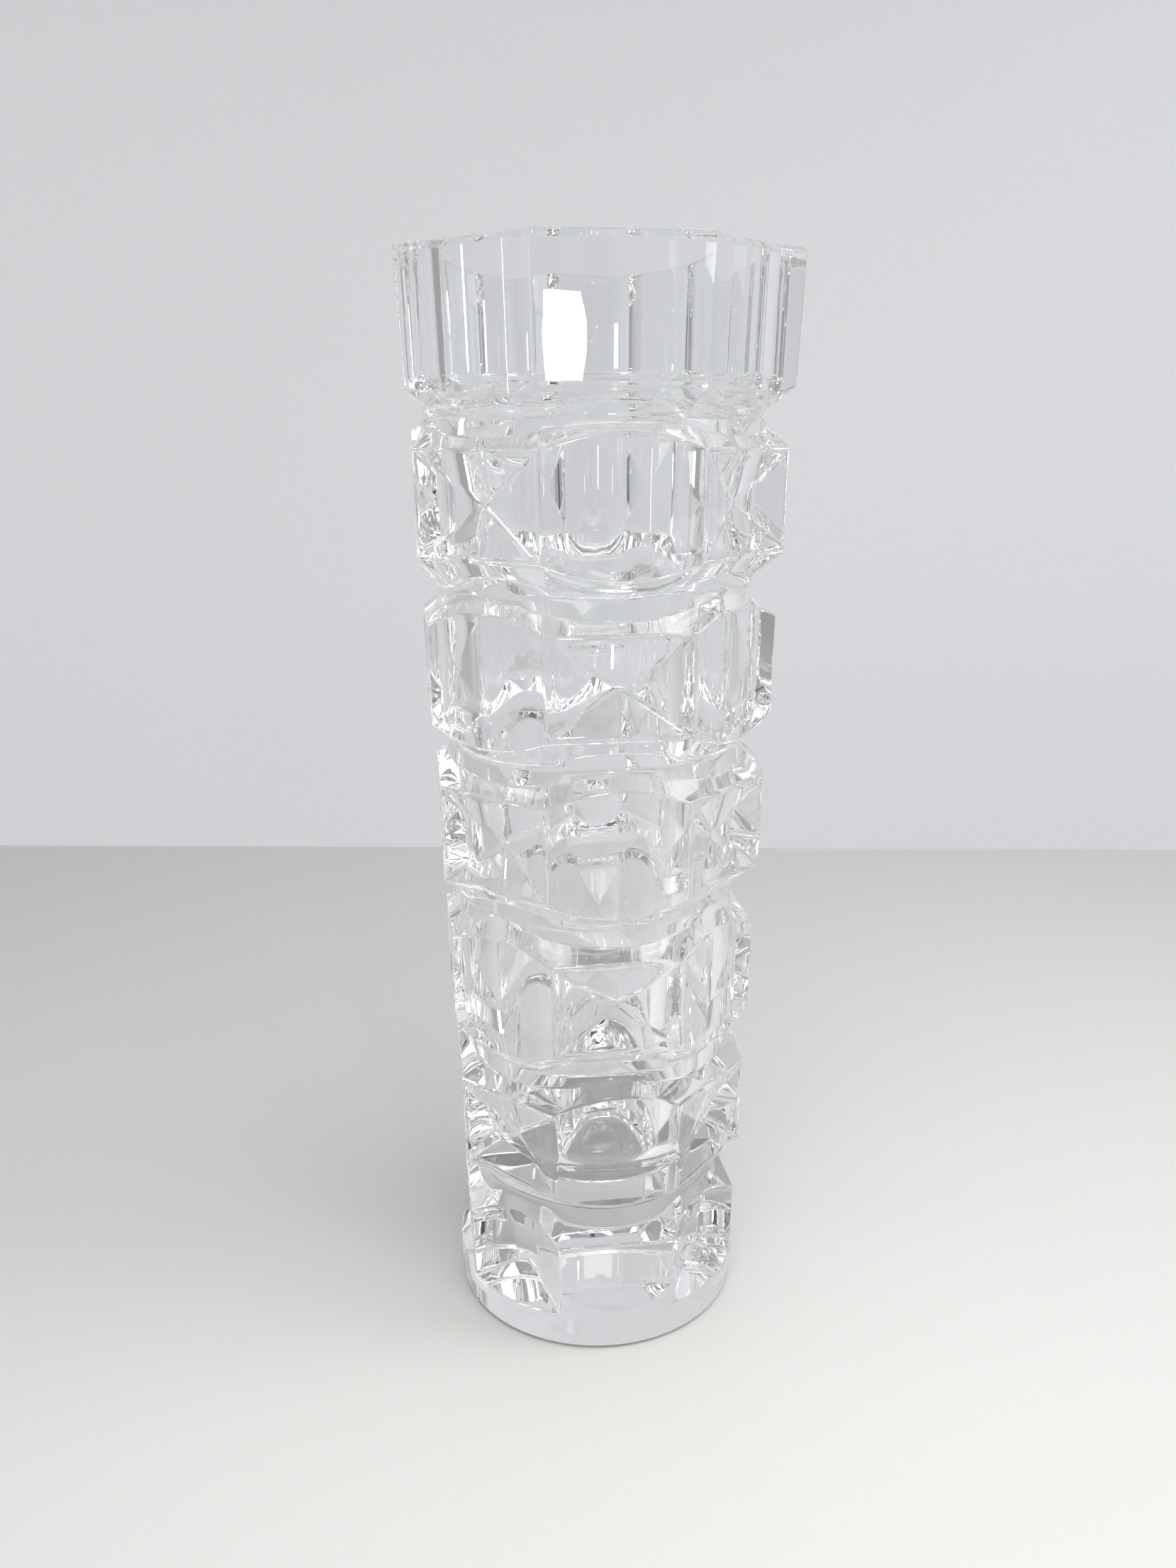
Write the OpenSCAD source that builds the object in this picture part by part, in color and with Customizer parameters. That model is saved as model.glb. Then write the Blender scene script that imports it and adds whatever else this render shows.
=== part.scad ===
// A tall pressed crystal vase: a thick solid base, five faceted bands between
// rounded grooves, and a wider collar. All of it is one body of clear glass.
// +Z is up, the origin is the centre of the underside, and -Y is the front.

/* [Overall] */
// Height of the vase
height = 246; // [236:1:256]
// Radius at the corners of the rim
rim_r = 45.6; // [44.5:0.1:47]
// Corner radius that the sides would have at the table
low_r = 34.8; // [34.2:0.1:35.4]
// Share of the widening that is curved, strongest near the rim
flare = 0.27; // [0.1:0.01:0.4]

/* [Bands] */
// Height from one band to the next
pitch = 36; // [34.5:0.5:36.5]
// Height of a band's upright faces
face_h = 22.2; // [21:0.1:23]
// Top of the base block's upright faces
base_top = 26.8; // [25:0.1:28]
// How much smaller a face's lower corners are than its upper ones
draft = 0.5; // [0.2:0.1:0.8]
// Depth of the grooves below the corners of the bands
groove_d = 6.5; // [5.5:0.1:7]
// Radius of the rounded bottom of the grooves
cove_r = 3.4; // [2.5:0.1:4]

/* [Cuts] */
// Depth of a star cut, a sunk pyramid, below its face
star_d = 3.7; // [2.5:0.1:4.5]
// Width of the flat margin around a star cut
star_margin = 0.9; // [0.5:0.1:1.5]
// Half the angle that a pad of the collar or the base covers
pad_half = 22.5; // [21:0.5:23]
// Angle that the slanted side of a pad covers
side_angle = 12; // [10:0.5:13]
// Depth of the slanted sides of the collar's pads
pad_side_d = 4.4; // [3.5:0.1:5]
// Depth of the hollows between the base's pads, at their middle
hollow_d = 7; // [6:0.1:7.5]
// Rise of the flat bevels for each millimetre that they go inwards
bevel_rise = 0.8; // [0.7:0.05:0.9]

/* [Inside] */
// Thickness of the glass below the inside
floor_z = 37; // [36:1:40]
// Inside radius where the straight wall meets the rounded floor
bore_low_r = 23.5; // [22:0.1:25]
// Inside radius in the groove under the collar
bore_high_r = 30.6; // [29:0.1:31]
// Inside radius at the mouth
mouth_r = 36.8; // [36:0.1:37.2]
// Radius of the rounded edge of the inside's floor
floor_round = 12; // [8:0.5:15]

/* [Foot] */
// Radius of the round foot at its top
foot_r = 34.9; // [34.4:0.1:35]
// Height of the foot
foot_h = 9; // [8:0.1:10]
// Rounding of the foot's lower edge
foot_round = 1.4; // [0.8:0.1:2]

/* [Hidden] */
$fn = 96;
clear_glass = [0.86, 0.9, 0.92, 0.45];
sides = 8;                       // faces around a band
bands = 5;
turn = 360 / sides;
arc_steps = 5;                   // straight steps in each rounded corner of a section
reach = 60;                      // further out than any part of the vase
gap = pitch - face_h;            // height of a groove
collar_z = base_top + bands * pitch + gap - 1.8;
flare_share = [1 - flare, flare];
edge_cut = 0.15;                 // how far a bevel takes the edge of its face down
base_rise = 2.8;                 // the base's round body stands this much above its pads
toe_h = 5.3;                     // height of the sloping toe below each pad

// Corner radius of the widening sides at height z.
function corner_r(z) =
    let (t = z / height)
    low_r + (rim_r - low_r) * (flare_share[0] * t + flare_share[1] * t * t);

// Heights of a band's upright faces, band 0 being the base block.
function top_z(i) = base_top + i * pitch;
function bottom_z(i) = i > bands ? collar_z : top_z(i) - face_h;

// Middle of a band, and its corner radius at the top and at the bottom.
function mid_r(i) = corner_r(top_z(i) - face_h / 2);
function top_r(i) = mid_r(i) + draft / 2;
function bottom_r(i) = i > bands ? corner_r(collar_z) : mid_r(i) - draft / 2;

// Upper edge of a band's turned body, which on the base is above the pads.
function edge_z(i) = top_z(i) + (i == 0 ? base_rise : 0);
function edge_r(i) = i == 0 ? corner_r(edge_z(0)) + draft / 2 : top_r(i);

// Groove number i lies above band i, and band 0 is the base block.
function groove_z(i) = (edge_z(i) + bottom_z(i + 1)) / 2;
function neck_r(i) = top_r(i) - groove_d;

// Section points of the rounded bottom of a groove of neck radius rn, from the
// neck out to where a straight wall to the edge (re, dz) leaves it. The wall
// touches the round, so its angle comes from the tangent to that circle.
function cove(rn, re, dz) =
    let (away = [re - rn - cove_r, dz],
         last = atan2(away[1], away[0]) + acos(cove_r / norm(away)))
    [for (i = [0 : arc_steps])
        let (a = 180 + (last - 180) * i / arc_steps)
        [rn + cove_r + cove_r * cos(a), cove_r * sin(a)]];
function raised(points, z) = [for (p = points) [p[0], z + p[1]]];
function sunk(points, z) =
    [for (i = [len(points) - 1 : -1 : 0]) [points[i][0], z - points[i][1]]];

// Half of a groove: a wall that rises from its bottom to a band's lower edge,
// or one that comes down to its bottom from under it.
function wall_up(i) = raised(cove(neck_r(i), bottom_r(i + 1), bottom_z(i + 1) - groove_z(i)),
                             groove_z(i));
function wall_in(i) = sunk(cove(neck_r(i), edge_r(i), groove_z(i) - edge_z(i)), groove_z(i));

// Distance from the axis to a flat face whose corners have radius r.
function flat_x(r, half = turn / 2) = r * cos(half);

// Everything outside a plane that passes through the points a and b of the
// section, drawn for the face towards +X. The plane runs along Y.
module shave(a, b) {
    tilt = atan((a[0] - b[0]) / (b[1] - a[1]));
    translate([a[0], -reach, a[1]])
        rotate([0, -tilt, 0])
            translate([0, 0, -2 * reach])
                cube([reach, 2 * reach, 4 * reach]);
}

// A flat bevel from a face's edge at (x, z) in to the round neck beside it,
// rising with up = 1, falling with up = -1.
module bevel(x, z, up, neck) {
    difference() {
        shave([x, z - up * edge_cut], [x - 10, z - up * edge_cut + up * 10 * bevel_rise]);
        translate([0, 0, z - reach]) cylinder(r = neck + 0.3, h = 2 * reach);
    }
}

// Puts a cut made for +X at side k, with side 0 at the front.
module at_side(k) {
    rotate([0, 0, k * turn - 90]) children();
}

// A star cut: four triangles that meet at a point sunk into the face.
module star(i) {
    upper = top_z(i) - star_margin;
    lower = bottom_z(i) + star_margin;
    wide = top_r(i) * sin(turn / 2) - star_margin;
    xt = flat_x(top_r(i));
    xb = flat_x(bottom_r(i));
    out = 1;
    polyhedron(
        points = [[xb, -wide, lower], [xb, wide, lower], [xt, wide, upper],
                  [xt, -wide, upper], [(xt + xb) / 2 - star_d, 0, (upper + lower) / 2],
                  [xb + out, -wide, lower], [xb + out, wide, lower],
                  [xt + out, wide, upper], [xt + out, -wide, upper]],
        faces = [[1, 4, 0], [2, 4, 1], [3, 4, 2], [0, 4, 3], [8, 7, 6, 5],
                 [5, 6, 1, 0], [6, 7, 2, 1], [7, 8, 3, 2], [8, 5, 0, 3]]);
}

// The inside, the same for every node that it passes through: a rounded floor,
// a wall that widens upwards, and a wider mouth inside the collar.
module inside() {
    shoulder = 5;
    rotate_extrude()
        polygon(concat(
            [[0, floor_z]],
            [for (i = [0 : arc_steps])
                let (a = -90 + 90 * i / arc_steps)
                [bore_low_r - floor_round + floor_round * cos(a),
                 floor_z + floor_round + floor_round * sin(a)]],
            [[bore_high_r, groove_z(bands)],
             [bore_high_r + 0.7, groove_z(bands) + 0.4 * shoulder],
             [bore_high_r + 2.2, groove_z(bands) + 0.8 * shoulder],
             [mouth_r - 2, collar_z - 0.2 * shoulder],
             [mouth_r - 0.9, collar_z + 0.2 * shoulder],
             [mouth_r - 0.6, collar_z + 0.6 * shoulder],
             [mouth_r, height], [mouth_r, height + 1], [0, height + 1]]));
}

// Band i, cut from a turned ring. Its faces are flat and star-cut by turns.
module band(i) {
    color(clear_glass)
    difference() {
        rotate_extrude()
            polygon(concat(
                [[0, groove_z(i - 1)]], wall_up(i - 1),
                [[bottom_r(i), bottom_z(i)], [top_r(i), top_z(i)]],
                wall_in(i), [[0, groove_z(i)]]));
        for (k = [0 : sides - 1])
            at_side(k)
                shave([flat_x(bottom_r(i)), bottom_z(i)], [flat_x(top_r(i)), top_z(i)]);
        for (k = [i % 2 : 2 : sides - 1])
            at_side(k) {
                bevel(flat_x(top_r(i)), top_z(i), 1, neck_r(i));
                bevel(flat_x(bottom_r(i)), bottom_z(i), -1, neck_r(i - 1));
                star(i);
            }
        inside();
    }
}

// Plan of the hollow between two pads, open outwards, for the hollow at +X.
// Its corners lie on the pads' corners at radius r. The slanted sides lead down
// to a shallow curve, and its middle is d below the corners.
function hollow_plan(r, d) =
    let (wide = turn - pad_half, bed = wide - side_angle)
    concat(
        [[reach, -reach * tan(wide)], [r * cos(wide), -r * sin(wide)]],
        [for (i = [-arc_steps : arc_steps])
            let (t = i / arc_steps, q = r - d + (d - pad_side_d) * t * t)
            [q * cos(bed * t), q * sin(bed * t)]],
        [[r * cos(wide), r * sin(wide)], [reach, reach * tan(wide)]]);

// Hollow from height z_low up, leaning out with the pads beside it.
module hollow(z_low, z_high, r_low, r_high, d) {
    lean = atan((r_high - r_low) / (z_high - z_low));
    translate([0, 0, z_low])
        rotate([0, lean, 0])
            linear_extrude(height = z_high - z_low + 12)
                polygon(hollow_plan(r_low, d));
}

// The collar, with a flat pad at the front, back and sides.
module collar() {
    neck_z = groove_z(bands);
    low_corner = bottom_r(bands + 1);
    color(clear_glass)
    difference() {
        rotate_extrude()
            polygon(concat(
                [[0, neck_z]], wall_up(bands),
                [[low_corner, collar_z], [rim_r, height], [0, height]]));
        for (k = [0 : 2 : sides - 1])
            at_side(k) {
                shave([flat_x(low_corner, pad_half), collar_z],
                      [flat_x(rim_r, pad_half), height]);
                bevel(flat_x(low_corner, pad_half), collar_z, -1, neck_r(bands));
            }
        for (k = [1 : 2 : sides - 1])
            at_side(k)
                hollow(neck_z - 1, height, low_corner - 0.2, rim_r, pad_side_d + 0.9);
        inside();
    }
}

// The solid base above the foot, with pads in line with the collar's. The
// hollows between the pads end below on a cone that slopes down to the foot.
module base_block() {
    low_x = flat_x(bottom_r(0), pad_half);
    color(clear_glass)
    difference() {
        rotate_extrude()
            polygon(concat(
                [[0, foot_h], [foot_r, foot_h], [bottom_r(0), foot_h + 1.2],
                 [edge_r(0), edge_z(0)]],
                wall_in(0), [[0, groove_z(0)]]));
        for (k = [0 : 2 : sides - 1])
            at_side(k) {
                intersection() {
                    shave([low_x, bottom_z(0)], [flat_x(top_r(0), pad_half), top_z(0)]);
                    shave([foot_r, foot_h + 0.4], [low_x, foot_h + toe_h]);
                }
                bevel(flat_x(top_r(0), pad_half), top_z(0), 1, neck_r(0));
            }
        difference() {
            for (k = [1 : 2 : sides - 1])
                at_side(k)
                    hollow(foot_h, edge_z(0), bottom_r(0), edge_r(0), hollow_d);
            rotate_extrude()
                polygon([[0, 0], [foot_r + 1, 0], [foot_r + 1, foot_h],
                         [foot_r - 10, foot_h + 9], [0, foot_h + 9]]);
        }
    }
}

// The plain round foot.
module foot_disc() {
    low = foot_r - 0.6;
    color(clear_glass)
    rotate_extrude()
        polygon(concat(
            [[0, 0]],
            [for (i = [0 : arc_steps])
                let (a = -90 + 90 * i / arc_steps)
                [low - foot_round + foot_round * cos(a), foot_round + foot_round * sin(a)]],
            [[foot_r, foot_h], [0, foot_h]]));
}

foot_disc();
base_block();
band(1);  // band_1
band(2);  // band_2
band(3);  // band_3
band(4);  // band_4
band(5);  // band_5
collar();
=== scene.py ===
# %% [markdown]
# # A cut crystal vase, from frame to finished picture
# The vase is one heavy body of clear pressed crystal: a solid base, five bands of facets
# between rounded grooves, and a wide collar. This lesson builds the whole body as a single
# closed skin, because light has to pass from the outside to the inside of the glass without
# meeting any hidden wall on its way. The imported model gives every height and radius.

# %% Load the frame
import bpy
import math
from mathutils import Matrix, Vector


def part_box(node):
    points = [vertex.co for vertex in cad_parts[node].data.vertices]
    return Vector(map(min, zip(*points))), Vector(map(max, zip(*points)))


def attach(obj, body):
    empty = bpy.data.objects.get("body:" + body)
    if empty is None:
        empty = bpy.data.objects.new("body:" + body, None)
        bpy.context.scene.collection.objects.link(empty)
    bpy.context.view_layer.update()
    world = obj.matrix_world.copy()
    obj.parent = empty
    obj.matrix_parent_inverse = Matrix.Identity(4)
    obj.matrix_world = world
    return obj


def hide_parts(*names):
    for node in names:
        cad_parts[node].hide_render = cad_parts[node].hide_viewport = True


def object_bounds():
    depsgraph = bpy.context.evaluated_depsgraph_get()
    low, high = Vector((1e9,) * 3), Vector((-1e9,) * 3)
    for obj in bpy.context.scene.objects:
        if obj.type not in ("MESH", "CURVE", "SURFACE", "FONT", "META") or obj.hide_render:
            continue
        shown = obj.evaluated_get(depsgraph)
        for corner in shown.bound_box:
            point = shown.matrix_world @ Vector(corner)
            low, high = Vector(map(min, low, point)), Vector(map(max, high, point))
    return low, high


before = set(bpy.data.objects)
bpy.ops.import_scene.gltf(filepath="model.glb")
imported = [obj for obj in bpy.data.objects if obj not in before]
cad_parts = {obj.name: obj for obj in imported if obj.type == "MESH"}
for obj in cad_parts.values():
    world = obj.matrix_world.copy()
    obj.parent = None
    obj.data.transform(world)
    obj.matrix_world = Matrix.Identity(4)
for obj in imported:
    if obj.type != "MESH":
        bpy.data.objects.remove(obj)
cad_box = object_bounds()
print("nodes:", sorted(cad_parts))
print("box from", tuple(round(v, 4) for v in cad_box[0]), "to",
      tuple(round(v, 4) for v in cad_box[1]))

# %% [markdown]
# ## Heights and radii
# A maker's drawing gives the levels first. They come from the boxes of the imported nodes:
# each node ends in the middle of a groove, so its top is the level of the groove's neck.
# The corner radius grows upwards, a little faster near the rim, like the real outline.

# %% Levels and the outline of the corners
MM = 0.001
BANDS = 5
SIDES = 8
TURN = math.radians(360 / SIDES)
LEAN = 0.25 * MM             # a face's upper edge stands this far out, its lower edge in
LOW_R, GROWTH = 34.8, 10.8   # corner radius at the table, and what it gains, in mm
EVEN, LATE = 0.73, 0.27      # the share gained evenly, and the share gained near the rim
height = cad_box[1].z
foot_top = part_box("foot_disc")[1].z
foot_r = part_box("foot_disc")[1].x
necks = [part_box("base_block")[1].z] + [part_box(f"band_{i + 1}")[1].z for i in range(BANDS)]
pitch = necks[2] - necks[1]
face_h = 22.2 * MM
band_tops = [necks[i + 1] - (pitch - face_h) / 2 for i in range(BANDS)]
band_tops[-1] = band_tops[-2] + pitch
base_top = band_tops[0] - pitch
collar_z = 2 * necks[BANDS] - band_tops[-1]


def corner_r(z):
    """Radius of the body's corners at height z."""
    t = z / height
    return (LOW_R + GROWTH * (EVEN * t + LATE * t * t)) * MM


def in_mm(metres):
    return round(metres * 1000, 1)


rim_r = corner_r(height)
print("necks at", [in_mm(z) for z in necks], "mm, collar from", in_mm(collar_z),
      "mm, rim radius", in_mm(rim_r), "mm")

# %% [markdown]
# ## The camera
# The camera comes first, because the shapes that matter most are the ones it sees. It
# stands a little left of the front, slightly below the rim, and looks down at the vase.

# %% Camera
CAMERA_TURN = (74.381, 0.335, -8.178)      # in degrees
camera_data = bpy.data.cameras.new("camera")
camera_data.sensor_width = 36
camera_data.lens = 29.78
camera = bpy.data.objects.new("camera", camera_data)
bpy.context.scene.collection.objects.link(camera)
camera.location = (-0.04293, -0.29171, 0.21202)
camera.rotation_euler = [math.radians(d) for d in CAMERA_TURN]
bpy.context.scene.camera = camera
print("camera at", [round(v, 3) for v in camera.location], "lens", camera_data.lens)

# %% [markdown]
# ## How the skin is made
# A circle of 64 points is the underside. It is extruded upwards ring by ring, and every
# new ring is laid on its level: round in a groove, eight-sided on a band. With eight
# columns of points to a side, a column runs up through every corner, so the hard edges
# of the facets lie on mesh edges and can be rounded later by one Bevel modifier.

# %% Columns of points
PER_SIDE = 8
COLUMNS = SIDES * PER_SIDE
PAD_HALF = 22.5              # half the angle of a flat pad, in degrees
BED_HALF = 12.5              # half the angle of the bed of a hollow
SIDE_HALF = 22.5             # half the angle of a side of a band


def side_of(column):
    """Side number of a column, and its step from the middle of that side, -4 to 3."""
    shifted = (column + PER_SIDE // 2) % COLUMNS
    return shifted // PER_SIDE, shifted % PER_SIDE - PER_SIDE // 2


def even_angle(column):
    """Local angle of a column on a side of a band, in degrees."""
    return 45 / PER_SIDE * side_of(column)[1]


def pad_angle(column):
    """Local angle where pads, on even sides, and hollows, on odd ones, share a ring."""
    side, step = side_of(column)
    if side % 2 == 0:
        return PAD_HALF * step / 4
    outer = 45 - PAD_HALF
    size = [0, BED_HALF / 2, BED_HALF, (BED_HALF + outer) / 2, outer][abs(step)]
    return math.copysign(size, step)


def direction(column, local):
    """Unit vector from the axis through a column, side 0 being the front."""
    a = math.radians(45 * side_of(column)[0] + local)
    return Vector((math.sin(a), -math.cos(a), 0))


print(COLUMNS, "columns; pad angles of side 0:", [pad_angle(c) for c in range(5)])

# %% [markdown]
# ## Extruding rings
# `extrude_edges_move` raises the selected ring, as the E key does. The new points are then
# laid on their places. The rule of a ring is a small function that gives the local angle,
# the radius and the height of each of its columns.

# %% The first ring and the ring tool
def deselect():
    if bpy.context.mode != "OBJECT":
        bpy.ops.object.mode_set(mode="OBJECT")
    bpy.ops.object.select_all(action="DESELECT")


def lay_ring(rule):
    """Extrudes the selected ring of edges and lays the new points by the rule."""
    bpy.ops.mesh.extrude_edges_move(TRANSFORM_OT_translate={"value": (0, 0, MM)})
    vase.update_from_editmode()
    fresh = [v for v in vase.data.vertices if v.select]
    assert len(fresh) == COLUMNS, len(fresh)
    order = sorted(fresh, key=lambda v: (math.atan2(v.co.x, -v.co.y) + 0.04) % math.tau)
    places = {}
    for column, v in enumerate(order):
        local, radius, z = rule(column)
        places[v.index] = direction(column, local) * radius + Vector((0, 0, z))
    bpy.ops.object.mode_set(mode="OBJECT")
    for index, place in places.items():
        vase.data.vertices[index].co = place
    bpy.ops.object.mode_set(mode="EDIT")


deselect()
FOOT_LOW_R = foot_r - 0.6 * MM
bpy.ops.mesh.primitive_circle_add(vertices=COLUMNS, radius=FOOT_LOW_R, fill_type="NGON",
                                  location=(0, 0, 0))
vase = bpy.context.active_object
vase.name = vase.data.name = "crystal_vase"
bpy.ops.object.mode_set(mode="EDIT")
bpy.ops.mesh.select_all(action="SELECT")
print("underside of", in_mm(FOOT_LOW_R), "mm radius")

# %% [markdown]
# ## Foot and base
# The foot is a plain round disc. Above it four pads stand at the front, the back and the
# sides, and four scooped hollows between them end on a cone that slopes down to the foot.
# Below each pad a sloping toe leads to the foot, which shows as a soft arc.

# %% Rings of the foot and the base
PAD_MIDDLE = 15.7 * MM
CONE = 0.82                  # rise of the cone below the hollows
TOE = 4.9 / 2.05             # rise of the toe below a pad
TOE_SHARE = 0.75             # keeps the toe's corners clear of the pad's lower edge
TOE_FOOT = 0.9 * MM
PAD_LIFT = 6.3 * MM          # from the foot to a pad's lower edge
base_low_r = corner_r(PAD_MIDDLE) - LEAN
base_high_r = corner_r(PAD_MIDDLE) + LEAN


def cosine(local):
    return math.cos(math.radians(local))


def chord_r(r_outer, r_inner):
    """Radius half way along the slanted side of a hollow, at the angle between its ends."""
    a, b = math.radians(45 - PAD_HALF), math.radians(BED_HALF)
    p = Vector((math.cos(a), math.sin(a))) * r_outer
    q = Vector((math.cos(b), math.sin(b))) * r_inner
    m = (a + b) / 2
    n = Vector((-math.sin(m), math.cos(m)))
    t = p.dot(n) / (p - q).dot(n)
    return (p + (q - p) * t).length


def hollow_r(step, corner, side_depth, depth):
    """Radius of a hollow at a step from its middle."""
    inner = corner - side_depth
    near = corner - depth
    return [near, near + (inner - near) * 0.25, inner, chord_r(corner, inner),
            corner][abs(step)]


def on_pad(column):
    """True for every column of a pad, its two corners included."""
    side, step = side_of(column)
    return side % 2 == 0 or abs(step) == 4


def from_middle(column):
    """Angle of a pad's column from the pad's own middle, in degrees."""
    return pad_angle(column) if side_of(column)[0] % 2 == 0 else PAD_HALF


def pad_r(column, corner):
    """Radius of a flat pad at a column."""
    return corner * cosine(PAD_HALF) / cosine(from_middle(column))


def foot_top_ring(column):
    return pad_angle(column), foot_r, foot_top - 0.4 * MM


def toe_ring(column):
    a, step = pad_angle(column), side_of(column)[1]
    if on_pad(column):
        back = foot_r - foot_r * cosine(from_middle(column))
        z = foot_top + TOE_FOOT + back * TOE * TOE_SHARE
        return a, foot_r + (base_low_r - foot_r) * abs(step) / 4, z
    r = hollow_r(step, base_low_r, 4.4 * MM, 7.6 * MM)
    return a, r, foot_top + (foot_r - r) * CONE + 0.4 * MM


def pad_low_ring(column):
    a, step = pad_angle(column), side_of(column)[1]
    z = foot_top + PAD_LIFT
    if on_pad(column):
        return a, pad_r(column, base_low_r), z
    return a, hollow_r(step, base_low_r, 4.5 * MM, 8 * MM), z + 2.4 * MM


def pad_high_ring(column):
    a, step = pad_angle(column), side_of(column)[1]
    if on_pad(column):
        return a, pad_r(column, base_high_r), base_top
    rise = [3.4, 3.2, 2.7, 1.7][abs(step)] * MM
    return a, hollow_r(step, base_high_r, 4.2 * MM, 5.6 * MM), base_top + rise


for ring in (foot_top_ring, toe_ring, pad_low_ring, pad_high_ring):
    lay_ring(ring)
print("base pads up to", in_mm(base_top), "mm")

# %% [markdown]
# ## Grooves and bands
# Every groove is a turned neck with a rounded bottom. A star side meets it with a flat
# bevel, and a flat side with a slice of the round cone, so its edge rises in an arch.
# One function gives the radius and height of the bottom rings on each column, and it is
# used upside down for the edge above the groove.

# %% The rings of one groove
GROOVE_D = 6.5 * MM
BEVEL_RISE = 0.8             # rise of a star side's bevel for each step inwards
WALL_RISE = 1.06             # the same for the round wall above a flat side
NECK_ROUND = 0.45 * MM       # what the round bottom takes off a groove's depth
NECK_SHARE = 0.35            # depth of the rings beside a neck, as a share of the next
NECK_STEP = 0.75 * MM        # their distance from the neck
WALL_END = 1.6 * MM          # where the round wall ends, from the neck
WALL_OUT = 1.05 * MM         # and how far outside it


def has_star(side, i):
    """Star sides and flat sides change places from one band to the next."""
    return side % 2 == (i + 1) % 2


def band_edge(column, corner, level, up, star):
    """A band's upper (up = 1) or lower (up = -1) edge: straight or arched."""
    a = even_angle(column)
    x = corner * cosine(SIDE_HALF)
    r = x / cosine(a)
    return a, r, level if star else level + up * WALL_RISE * (corner - r)


def inner_ring(column, corner, level, up, star, neck_r, neck_z, a, half):
    """Where the bevel or the wall ends on the neck."""
    step = abs(side_of(column)[1])
    x = corner * cosine(half)
    r = neck_r + (0.15 + 0.6 * (step / 4) ** 2) * MM
    bevel_z = level + up * BEVEL_RISE * (x - r * cosine(a))
    if star or step == 4:
        return r, bevel_z
    r_wall = neck_r + WALL_OUT
    z_wall = neck_z - up * WALL_END
    share = 0.5 if step == 3 else 0
    return r_wall + (r - r_wall) * share, z_wall + (bevel_z - z_wall) * share


def lay_groove(lower, upper, neck_r, neck_z):
    """Five rings: the end of the lower bevel, the turned neck, the end of the upper one."""
    def near_neck(rule, up):
        def laid(column):
            r = rule(column)[1]
            r = neck_r + (r - neck_r) * NECK_SHARE
            return even_angle(column), r, neck_z + up * NECK_STEP
        return laid

    lay_ring(lower)
    lay_ring(near_neck(lower, -1))
    lay_ring(lambda column: (even_angle(column), neck_r, neck_z))
    lay_ring(near_neck(upper, 1))
    lay_ring(upper)


def band_inner(i, up):
    """Inner ring above (up = 1) or below (up = -1) band i, as a rule."""
    top = band_tops[i]
    middle = corner_r(top - face_h / 2)
    corner = middle + up * LEAN
    level = top if up == 1 else top - face_h
    neck_z = necks[i + 1] if up == 1 else necks[i]
    neck_r = neck_radius(i + 1 if up == 1 else i)

    def rule(column):
        a = even_angle(column)
        star = has_star(side_of(column)[0], i)
        r, z = inner_ring(column, corner, level, up, star, neck_r, neck_z, a, SIDE_HALF)
        return a, r, z
    return rule


def neck_radius(i):
    """Neck radius of groove i, groove 0 lying above the base."""
    if i == 0:
        return base_high_r - GROOVE_D + NECK_ROUND
    return corner_r(band_tops[i - 1] - face_h / 2) + LEAN - GROOVE_D + NECK_ROUND


def base_inner(column):
    """The ring where the base's pads and hollows end on the first neck."""
    r, z = inner_ring(column, base_high_r, base_top, 1, True, neck_radius(0), necks[0],
                      from_middle(column), PAD_HALF)
    if on_pad(column):
        return even_angle(column), r, z
    r_wall = neck_radius(0) + 0.6 * MM
    share = 0.5 if abs(side_of(column)[1]) == 3 else 0
    return (even_angle(column), r_wall + (r - r_wall) * share,
            necks[0] - WALL_END + (z - necks[0] + WALL_END) * share)


def collar_inner(column):
    """The ring where the collar's pads and hollows end on the last neck."""
    star = side_of(column)[0] % 2 == 0
    r, z = inner_ring(column, corner_r(collar_z), collar_z, -1, star, neck_radius(BANDS),
                      necks[BANDS], from_middle(column), PAD_HALF)
    if on_pad(column):
        return even_angle(column), r, z
    return even_angle(column), neck_radius(BANDS) + 0.5 * MM, necks[BANDS] + 1.2 * MM


print("neck radii", [in_mm(neck_radius(i)) for i in range(BANDS + 1)], "mm")

# %% Laying the five bands
lay_groove(base_inner, band_inner(0, -1), neck_radius(0), necks[0])
for i in range(BANDS):
    top = band_tops[i]
    middle = corner_r(top - face_h / 2)

    def low_edge(column):
        star = has_star(side_of(column)[0], i)
        return band_edge(column, middle - LEAN, top - face_h, -1, star)

    def high_edge(column):
        star = has_star(side_of(column)[0], i)
        return band_edge(column, middle + LEAN, top, 1, star)

    lay_ring(low_edge)
    lay_ring(high_edge)
    above = band_inner(i + 1, -1) if i + 1 < BANDS else collar_inner
    lay_groove(band_inner(i, 1), above, neck_radius(i + 1), necks[i + 1])
print("bands laid up to", in_mm(necks[BANDS]), "mm")

# %% [markdown]
# ## Collar and rim
# The collar repeats the pads of the base at a larger size. The hollows between them have
# slanted sides and a shallow bed, and run down onto the round wall above the neck.

# %% Rings of the collar
collar_r = corner_r(collar_z)
LEDGE = 0.9 * MM             # how far a hollow's foot stands above the round wall
COLLAR_SLOPE = 0.8
COLLAR_SIDE, COLLAR_BED = 4.4 * MM, 5.3 * MM       # depth of a hollow's sides and bed


def collar_low_ring(column):
    a, step = pad_angle(column), side_of(column)[1]
    if on_pad(column):
        return a, pad_r(column, collar_r), collar_z
    r = hollow_r(step, collar_r, COLLAR_SIDE, COLLAR_BED)
    return a, r, collar_z - (collar_r - r) * COLLAR_SLOPE + LEDGE


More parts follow.
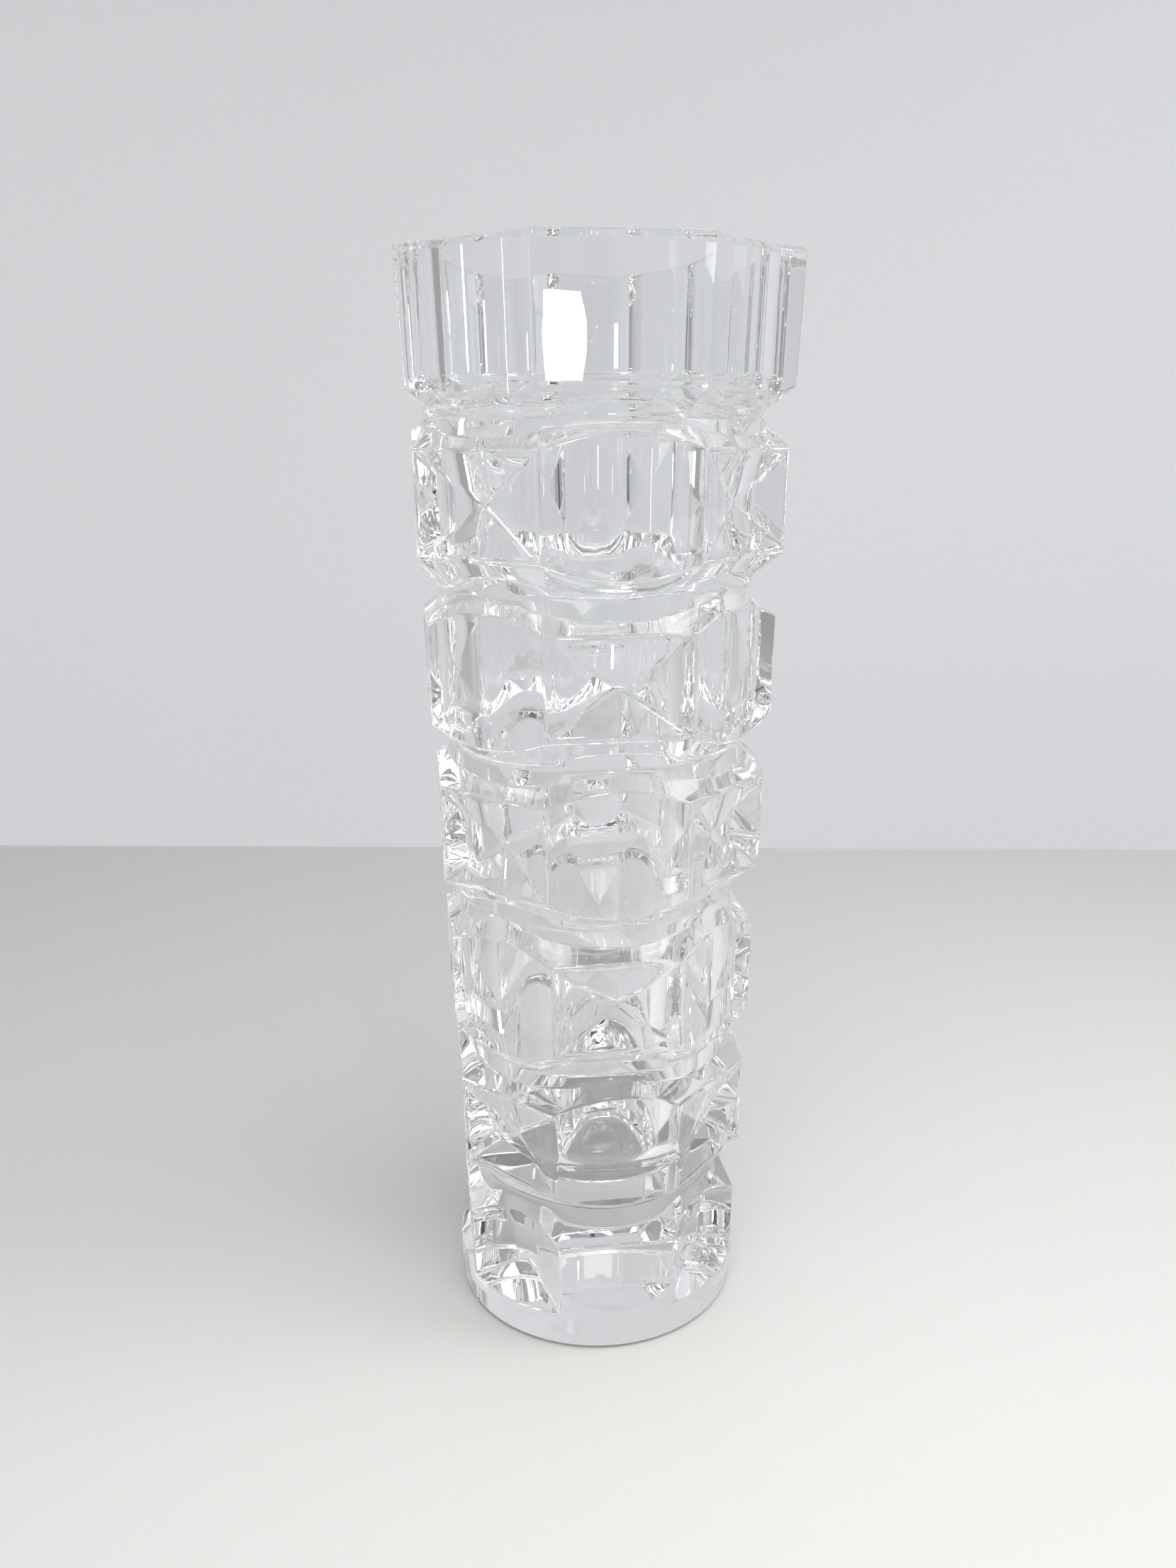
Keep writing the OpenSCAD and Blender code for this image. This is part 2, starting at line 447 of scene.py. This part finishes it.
def rim_ring(column):
    a, step = pad_angle(column), side_of(column)[1]
    if on_pad(column):
        return a, pad_r(column, rim_r), height
    return a, hollow_r(step, rim_r, COLLAR_SIDE, COLLAR_BED), height


lay_ring(collar_low_ring)
lay_ring(rim_ring)
print("rim at", in_mm(height), "mm")

# %% [markdown]
# ## The inside
# The same ring of edges now goes inwards over the rim and down into the vase: a wide
# mouth inside the collar, a shoulder, a wall that narrows a little, and a rounded floor
# over the thick solid base. The last ring is closed with one flat face.

# %% Rings of the inside
MOUTH_R = 36.8 * MM
BORE_HIGH = 30.6 * MM
BORE_LOW = 23.5 * MM
FLOOR_Z = 37 * MM
FLOOR_ROUND = 12 * MM


def round_ring(radius, z):
    return lambda column: (even_angle(column), radius, z)


inside = [(MOUTH_R, height), (MOUTH_R - 0.6 * MM, collar_z + 3 * MM),
          (MOUTH_R - 0.9 * MM, collar_z + 1 * MM), (MOUTH_R - 2 * MM, collar_z - 1 * MM),
          (BORE_HIGH + 2.2 * MM, necks[BANDS] + 4 * MM),
          (BORE_HIGH + 0.7 * MM, necks[BANDS] + 2 * MM), (BORE_HIGH, necks[BANDS])]
for share in (0.75, 0.5, 0.25):
    z = FLOOR_Z + FLOOR_ROUND
    inside.append((BORE_LOW + (BORE_HIGH - BORE_LOW) * share,
                   z + (necks[BANDS] - z) * share))
for a in (0, 15, 30, 45, 60, 75, 90):
    inside.append((BORE_LOW - FLOOR_ROUND * (1 - math.cos(math.radians(a))),
                   FLOOR_Z + FLOOR_ROUND * (1 - math.sin(math.radians(a)))))
for radius, z in inside:
    lay_ring(round_ring(radius, z))
bpy.ops.mesh.edge_face_add()
bpy.ops.mesh.select_all(action="SELECT")
bpy.ops.mesh.normals_make_consistent(inside=False)
bpy.ops.object.mode_set(mode="OBJECT")
print(len(vase.data.vertices), "points and", len(vase.data.polygons), "faces so far")

# %% [markdown]
# ## Flat faces and star cuts
# The eight small faces of each side are dissolved into one flat face. On every second
# side a margin is inset, the field inside it is poked to its middle, and that middle is
# pushed into the glass: four triangles meet there in a sunk star.

# %% Selecting by place
def pick(kind, test):
    """Selects only the elements of a kind (verts, edges or faces) that pass the test."""
    bpy.ops.object.mode_set(mode="EDIT")
    bpy.ops.mesh.select_mode(type={"verts": "VERT", "edges": "EDGE", "faces": "FACE"}[kind])
    bpy.ops.mesh.select_all(action="DESELECT")
    bpy.ops.object.mode_set(mode="OBJECT")
    data = vase.data
    items = {"verts": data.vertices, "edges": data.edges, "faces": data.polygons}[kind]
    for item in items:
        if test(item):
            item.select = True
    bpy.ops.object.mode_set(mode="EDIT")


def local_of(point, side):
    """A point seen from the front of a side: across, out and up."""
    a = side * TURN
    return Vector((point.x * math.cos(a) + point.y * math.sin(a),
                   point.x * math.sin(a) - point.y * math.cos(a), point.z))


def on_side(face, side, low, high):
    """True for a face of a band's side between two levels."""
    p = local_of(face.center, side)
    n = local_of(face.normal, side)
    return low < p.z < high and n.y > 0.99 and abs(p.x) < p.y * math.tan(TURN / 2)


# %% [markdown]
# Beside the lower corners of the base's pads the extruded faces are twisted: half of
# each belongs to the slanted side of a hollow, and half to the cone. An edge from the
# foot to the hollow splits such a face along the real line between the two.

# %% Splitting the twisted faces beside the toes
def place(rule, column):
    local, radius, z = rule(column)
    return direction(column, local) * radius + Vector((0, 0, z))


for side in range(0, SIDES, 2):
    for turn in (1, -1):
        corner = (side * PER_SIDE + turn * PER_SIDE // 2) % COLUMNS
        ends = (place(foot_top_ring, corner), place(toe_ring, (corner + turn) % COLUMNS))
        pick("verts", lambda v: min((v.co - p).length for p in ends) < 0.01 * MM)
        bpy.ops.mesh.vert_connect()
bpy.ops.object.mode_set(mode="OBJECT")
print("faces after the splits:", len(vase.data.polygons))

# %% Cutting the stars
STAR_MARGIN = 1.3 * MM
STAR_D = 3.9 * MM
FIELD_AREA = 1e-4            # in square metres; a star's field is larger, its margin smaller
for i in range(BANDS):
    top = band_tops[i]
    for side in range(SIDES):
        low, high = top - face_h, top
        pick("faces", lambda f: on_side(f, side, low, high))
        bpy.ops.mesh.dissolve_faces()
        if not has_star(side, i):
            continue
        bpy.ops.mesh.inset(thickness=STAR_MARGIN, use_even_offset=True)
        vase.update_from_editmode()
        field = {v.index: v.co.copy() for v in vase.data.vertices if v.select}
        reach = max(abs(local_of(p, side).x) for p in field.values())
        corners = [n for n, p in field.items() if abs(local_of(p, side).x) > reach - 0.8 * MM]
        between = set(field) - set(corners)
        pick("edges", lambda e: len(between & set(e.vertices)) == 1
             and len(set(field) & set(e.vertices)) == 1)
        bpy.ops.mesh.dissolve_edges(use_verts=True)
        pick("faces", lambda f: on_side(f, side, low, high) and len(f.vertices) == 4
             and f.area > FIELD_AREA)
        bpy.ops.mesh.poke()
        middle = sum((field[n] for n in corners), Vector()) / len(corners)
        pick("verts", lambda v: (v.co - middle).length < 2 * MM)
        out = direction(side * PER_SIDE, 0)
        bpy.ops.transform.translate(value=tuple(-out * STAR_D))
bpy.ops.object.mode_set(mode="OBJECT")
print("cut", BANDS * SIDES // 2, "stars; now", len(vase.data.polygons), "faces")

# %% [markdown]
# ## Melted edges
# Pressed and fire-polished crystal has no sharp edge. Each hard edge gets a bevel weight,
# and one Bevel modifier rounds them all: most by about half a millimetre, the valleys of
# the stars by more, and the rim and the foot most. Faces are then shaded smooth with
# their normals weighted by area, so the flats stay flat and the roundings bend the light.

# %% Weighing the edges
FULL, VALLEY, FACET, GROOVE = 1.0, 0.6, 0.4, 0.25      # shares of the full rounding
RIM_ANGLE, SOFT_ANGLE = 30, 12.5                       # in degrees
LEVEL_GAP = 0.1 * MM


def inner_radius(z):
    """Radius of the inside at height z, a little widened."""
    if z < FLOOR_Z - MM:
        return 0
    if z > necks[BANDS]:
        return (MOUTH_R if z > necks[BANDS] + 5 * MM else BORE_HIGH + 3 * MM) + 0.3 * MM
    share = max(0, (z - FLOOR_Z - FLOOR_ROUND) / (necks[BANDS] - FLOOR_Z - FLOOR_ROUND))
    return BORE_LOW + (BORE_HIGH - BORE_LOW) * share + 0.5 * MM


def is_valley(data, edge):
    """True for a star's slanted edges, which run both across and up."""
    a, b = (data.vertices[n].co for n in edge.vertices)
    along = a - b
    return abs(along.z) > 5 * MM and math.hypot(along.x, along.y) > 5 * MM


def near_groove(z, r, tall, out):
    """True for a place within `tall` of a neck's level and `out` of its radius."""
    return any(abs(z - necks[i]) < tall and r < neck_radius(i) + out
               for i in range(BANDS + 1))


def weigh_edges():
    """Gives every edge its bevel weight and returns how many edges have each weight."""
    data = vase.data
    faces_of = {}
    for face in data.polygons:
        for key in face.edge_keys:
            faces_of.setdefault(key, []).append(face)
    weights = data.attributes.new("bevel_weight_edge", "FLOAT", "EDGE")
    tally = {}
    for edge in data.edges:
        pair = faces_of[edge.key]
        if len(pair) != 2:
            continue
        angle = math.degrees(pair[0].normal.angle(pair[1].normal))
        p = (data.vertices[edge.vertices[0]].co + data.vertices[edge.vertices[1]].co) / 2
        r = math.hypot(p.x, p.y)
        if p.z > height - LEVEL_GAP or p.z < LEVEL_GAP:
            weight = FULL if angle > RIM_ANGLE else 0
        elif angle < SOFT_ANGLE or r < inner_radius(p.z):
            weight = 0
        elif near_groove(p.z, r, 2.4 * MM, 1.5 * MM):
            weight = 0
        elif near_groove(p.z, r, 5.5 * MM, 0.9 * MM):
            weight = GROOVE
        elif p.z > necks[0] and is_valley(data, edge):
            weight = VALLEY
        else:
            weight = FACET
        weights.data[edge.index].value = weight
        tally[weight] = tally.get(weight, 0) + 1
    return tally


print("edges by bevel weight:", weigh_edges())

# %% Rounding and shading
ROUND = 1.4 * MM
MERGE = 0.00002
deselect()
vase.select_set(True)
bpy.context.view_layer.objects.active = vase
bevel = vase.modifiers.new("melted edges", "BEVEL")
bevel.limit_method = "WEIGHT"
bevel.width = ROUND
bevel.segments = 3
bevel.use_clamp_overlap = False
bpy.ops.object.modifier_apply(modifier=bevel.name)
bpy.ops.object.mode_set(mode="EDIT")
bpy.ops.mesh.select_all(action="SELECT")
bpy.ops.mesh.remove_doubles(threshold=MERGE)
bpy.ops.mesh.normals_make_consistent(inside=False)
bpy.ops.object.mode_set(mode="OBJECT")
bpy.ops.object.shade_smooth()
weighted = vase.modifiers.new("flat faces stay flat", "WEIGHTED_NORMAL")
weighted.keep_sharp = False
bpy.ops.object.modifier_apply(modifier=weighted.name)
tris = sum(len(p.vertices) - 2 for p in vase.data.polygons)
print("vase:", len(vase.data.polygons), "faces,", tris, "triangles")

# %% [markdown]
# ## Crystal
# Lead crystal is colourless, very smooth and bends light more than window glass. Pressing
# leaves a faint waviness in the surface, which a Bump node adds from two sizes of noise.

# %% The waviness of pressed glass
def pressed_waves():
    group = bpy.data.node_groups.new("pressed_waves", "ShaderNodeTree")
    group.interface.new_socket("Wave Size", in_out="INPUT", socket_type="NodeSocketFloat")
    group.interface.new_socket("Fine Share", in_out="INPUT", socket_type="NodeSocketFloat")
    group.interface.new_socket("Height", in_out="OUTPUT", socket_type="NodeSocketFloat")
    n, link = group.nodes, group.links
    inp, out = n.new("NodeGroupInput"), n.new("NodeGroupOutput")
    coords = n.new("ShaderNodeTexCoord")
    broad, fine = n.new("ShaderNodeTexNoise"), n.new("ShaderNodeTexNoise")
    scaled = n.new("ShaderNodeMath")
    scaled.operation = "MULTIPLY"
    scaled.inputs[1].default_value = 4
    for noise in (broad, fine):
        noise.inputs["Detail"].default_value = 1
        link.new(coords.outputs["Object"], noise.inputs["Vector"])
    link.new(inp.outputs["Wave Size"], broad.inputs["Scale"])
    link.new(inp.outputs["Wave Size"], scaled.inputs[0])
    link.new(scaled.outputs[0], fine.inputs["Scale"])
    mixed = n.new("ShaderNodeMath")
    mixed.operation = "MULTIPLY_ADD"
    link.new(fine.outputs["Fac"], mixed.inputs[0])
    link.new(inp.outputs["Fine Share"], mixed.inputs[1])
    link.new(broad.outputs["Fac"], mixed.inputs[2])
    link.new(mixed.outputs[0], out.inputs["Height"])
    return group


crystal = bpy.data.materials.new("clear_crystal")
crystal.use_nodes = True
tree = crystal.node_tree
shader = tree.nodes["Principled BSDF"]
shader.inputs["Base Color"].default_value = (0.985, 0.993, 0.995, 1)
shader.inputs["Roughness"].default_value = 0.0
shader.inputs["IOR"].default_value = 1.545
shader.inputs["Transmission Weight"].default_value = 1
waves = tree.nodes.new("ShaderNodeGroup")
waves.node_tree = pressed_waves()
waves.inputs["Wave Size"].default_value = 55
waves.inputs["Fine Share"].default_value = 0.04
bump = tree.nodes.new("ShaderNodeBump")
bump.inputs["Strength"].default_value = 0.07
bump.inputs["Distance"].default_value = 0.0012
tree.links.new(waves.outputs["Height"], bump.inputs["Height"])
tree.links.new(bump.outputs["Normal"], shader.inputs["Normal"])
vase.data.materials.clear()
vase.data.materials.append(crystal)
print("crystal with refractive index", shader.inputs["IOR"].default_value)

# %% One skin for all the nodes
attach(vase, "root")
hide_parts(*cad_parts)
print("the vase stands for", len(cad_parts), "nodes")

# %% [markdown]
# ## Table, wall and light
# A pale table and a cool white wall behind the vase give the glass its greys. A soft sky
# over the front makes the near table bright, a window on the right lights the side, and
# an emission painted into the wall stands in for the faint light that falls on it. A small
# window beside the camera leaves the crisp white patch on the collar's front pad, and a
# dark card behind the camera, whose dark paint stands in for the dim room there, gives the
# glass its darks.

# %% Stage
VIEW_TURN = math.radians(CAMERA_TURN[2])
ahead = Vector((math.sin(-VIEW_TURN), math.cos(-VIEW_TURN), 0))
beside = Vector((ahead.y, -ahead.x, 0))
camera_foot = Vector((camera.location.x, camera.location.y, 0))
TABLE_AWAY = 0.637           # from the camera's foot to the table's far edge
WALL_AWAY = 1.05
CARD_AWAY = 0.35            # behind the camera


def stage_material(name, colour, other, size):
    """A matt surface with a faint cloud of a second colour."""
    material = bpy.data.materials.new(name)
    material.use_nodes = True
    t = material.node_tree
    s = t.nodes["Principled BSDF"]
    s.inputs["Roughness"].default_value = 0.6
    s.inputs["Specular IOR Level"].default_value = 0.25
    coords, noise = t.nodes.new("ShaderNodeTexCoord"), t.nodes.new("ShaderNodeTexNoise")
    noise.inputs["Scale"].default_value = size
    mix = t.nodes.new("ShaderNodeMix")
    mix.data_type = "RGBA"
    mix.inputs["A"].default_value = (*colour, 1)
    mix.inputs["B"].default_value = (*other, 1)
    t.links.new(coords.outputs["Object"], noise.inputs["Vector"])
    t.links.new(noise.outputs["Fac"], mix.inputs["Factor"])
    t.links.new(mix.outputs["Result"], s.inputs["Base Color"])
    return material


def plane(name, centre, across, up, width, tall, material):
    """A stage plane from its middle, two directions and two sizes."""
    deselect()
    bpy.ops.mesh.primitive_plane_add(size=1, location=(0, 0, 0))
    board = bpy.context.active_object
    board.name = name
    for v in board.data.vertices:
        v.co = centre + across * (v.co.x * width) + up * (v.co.y * tall)
    board.data.materials.append(material)
    return board


Z = Vector((0, 0, 1))
CLOUD = 3
table_paint = stage_material("pale_table", (0.77, 0.755, 0.735), (0.75, 0.74, 0.725), CLOUD)
wall_paint = stage_material("cool_wall", (0.86, 0.865, 0.885), (0.84, 0.845, 0.865), CLOUD)
table_end = camera_foot + ahead * TABLE_AWAY
wall_at = camera_foot + ahead * WALL_AWAY
TABLE_DEEP = 3
TABLE_SKEW = 0.029           # the table's far edge comes a little nearer on the right
# Painted light: this emission makes the wall glow a little, as the light falling on it would,
# though the wall is no lamp.
wall_painted_light = wall_paint.node_tree.nodes["Principled BSDF"]
wall_painted_light.inputs["Emission Color"].default_value = (0.975, 0.985, 1, 1)
wall_painted_light.inputs["Emission Strength"].default_value = 0.24
AIR = 0.2 * MM               # a hair of air under the foot, as on a real table
table_mid = table_end - ahead * TABLE_DEEP / 2 - Vector((0, 0, AIR))
plane("table", table_mid, beside - ahead * TABLE_SKEW, ahead, 4, TABLE_DEEP, table_paint)
plane("wall", wall_at + Z * 0.6, beside, Z, 4, 2.4, wall_paint)
# Painted shade: the card's near-black paint stands in for the dim, shaded room behind the
# camera, which the glass reflects as its darks.
painted_room_shade = stage_material("painted_room_shade", (0.02, 0.025, 0.04), (0.03, 0.035, 0.045), CLOUD)
behind = camera_foot - ahead * CARD_AWAY - beside * 0.03
card = plane("dark_card", behind + Z * 0.42, beside, Z, 0.3, 0.62, painted_room_shade)
card.visible_camera = False
print("table ends", TABLE_AWAY, "m and the wall stands", WALL_AWAY, "m from the camera")

# %% Lights
def area(name, at, target, width, tall, watts, colour=(1, 1, 1)):
    """A rectangular light at a place, facing a target."""
    light = bpy.data.lights.new(name, "AREA")
    light.shape = "RECTANGLE"
    light.size, light.size_y, light.energy, light.color = width, tall, watts, colour
    lamp = bpy.data.objects.new(name, light)
    bpy.context.scene.collection.objects.link(lamp)
    lamp.location = at
    lamp.rotation_mode = "QUATERNION"
    lamp.rotation_quaternion = (Vector(at) - Vector(target)).to_track_quat("Z", "Y")
    return lamp


over_front = camera_foot + ahead * 0.1 + beside * 0.12
sky = area("soft sky", over_front + Z * 0.5, over_front, 0.5, 0.4, 2.4, (1, 0.99, 0.97))
sky.visible_glossy = False   # a large soft source leaves no hard square on the glass
area("side window", (1.5, -0.3, 0.9), (0, 0.3, 0.2), 0.9, 1.2, 5.2, (0.95, 0.975, 1))
area("low window", (0.0178, -0.2927, 0.217), (-0.0125, -0.0427, 0.227), 0.0195, 0.034, 0.07)
area("left window", (-1.6, 0.3, 0.26), (0, 0, 0.22), 0.12, 0.3, 1.7)
world = bpy.data.worlds.new("room")
bpy.context.scene.world = world
world.use_nodes = True
world.node_tree.nodes["Background"].inputs["Color"].default_value = (0.97, 0.98, 1, 1)
world.node_tree.nodes["Background"].inputs["Strength"].default_value = 0.36
cycles = bpy.context.scene.cycles
cycles.max_bounces = cycles.transmission_bounces = 24       # light crosses many facets
cycles.glossy_bounces = 12
bpy.context.scene.view_settings.view_transform = "Standard"
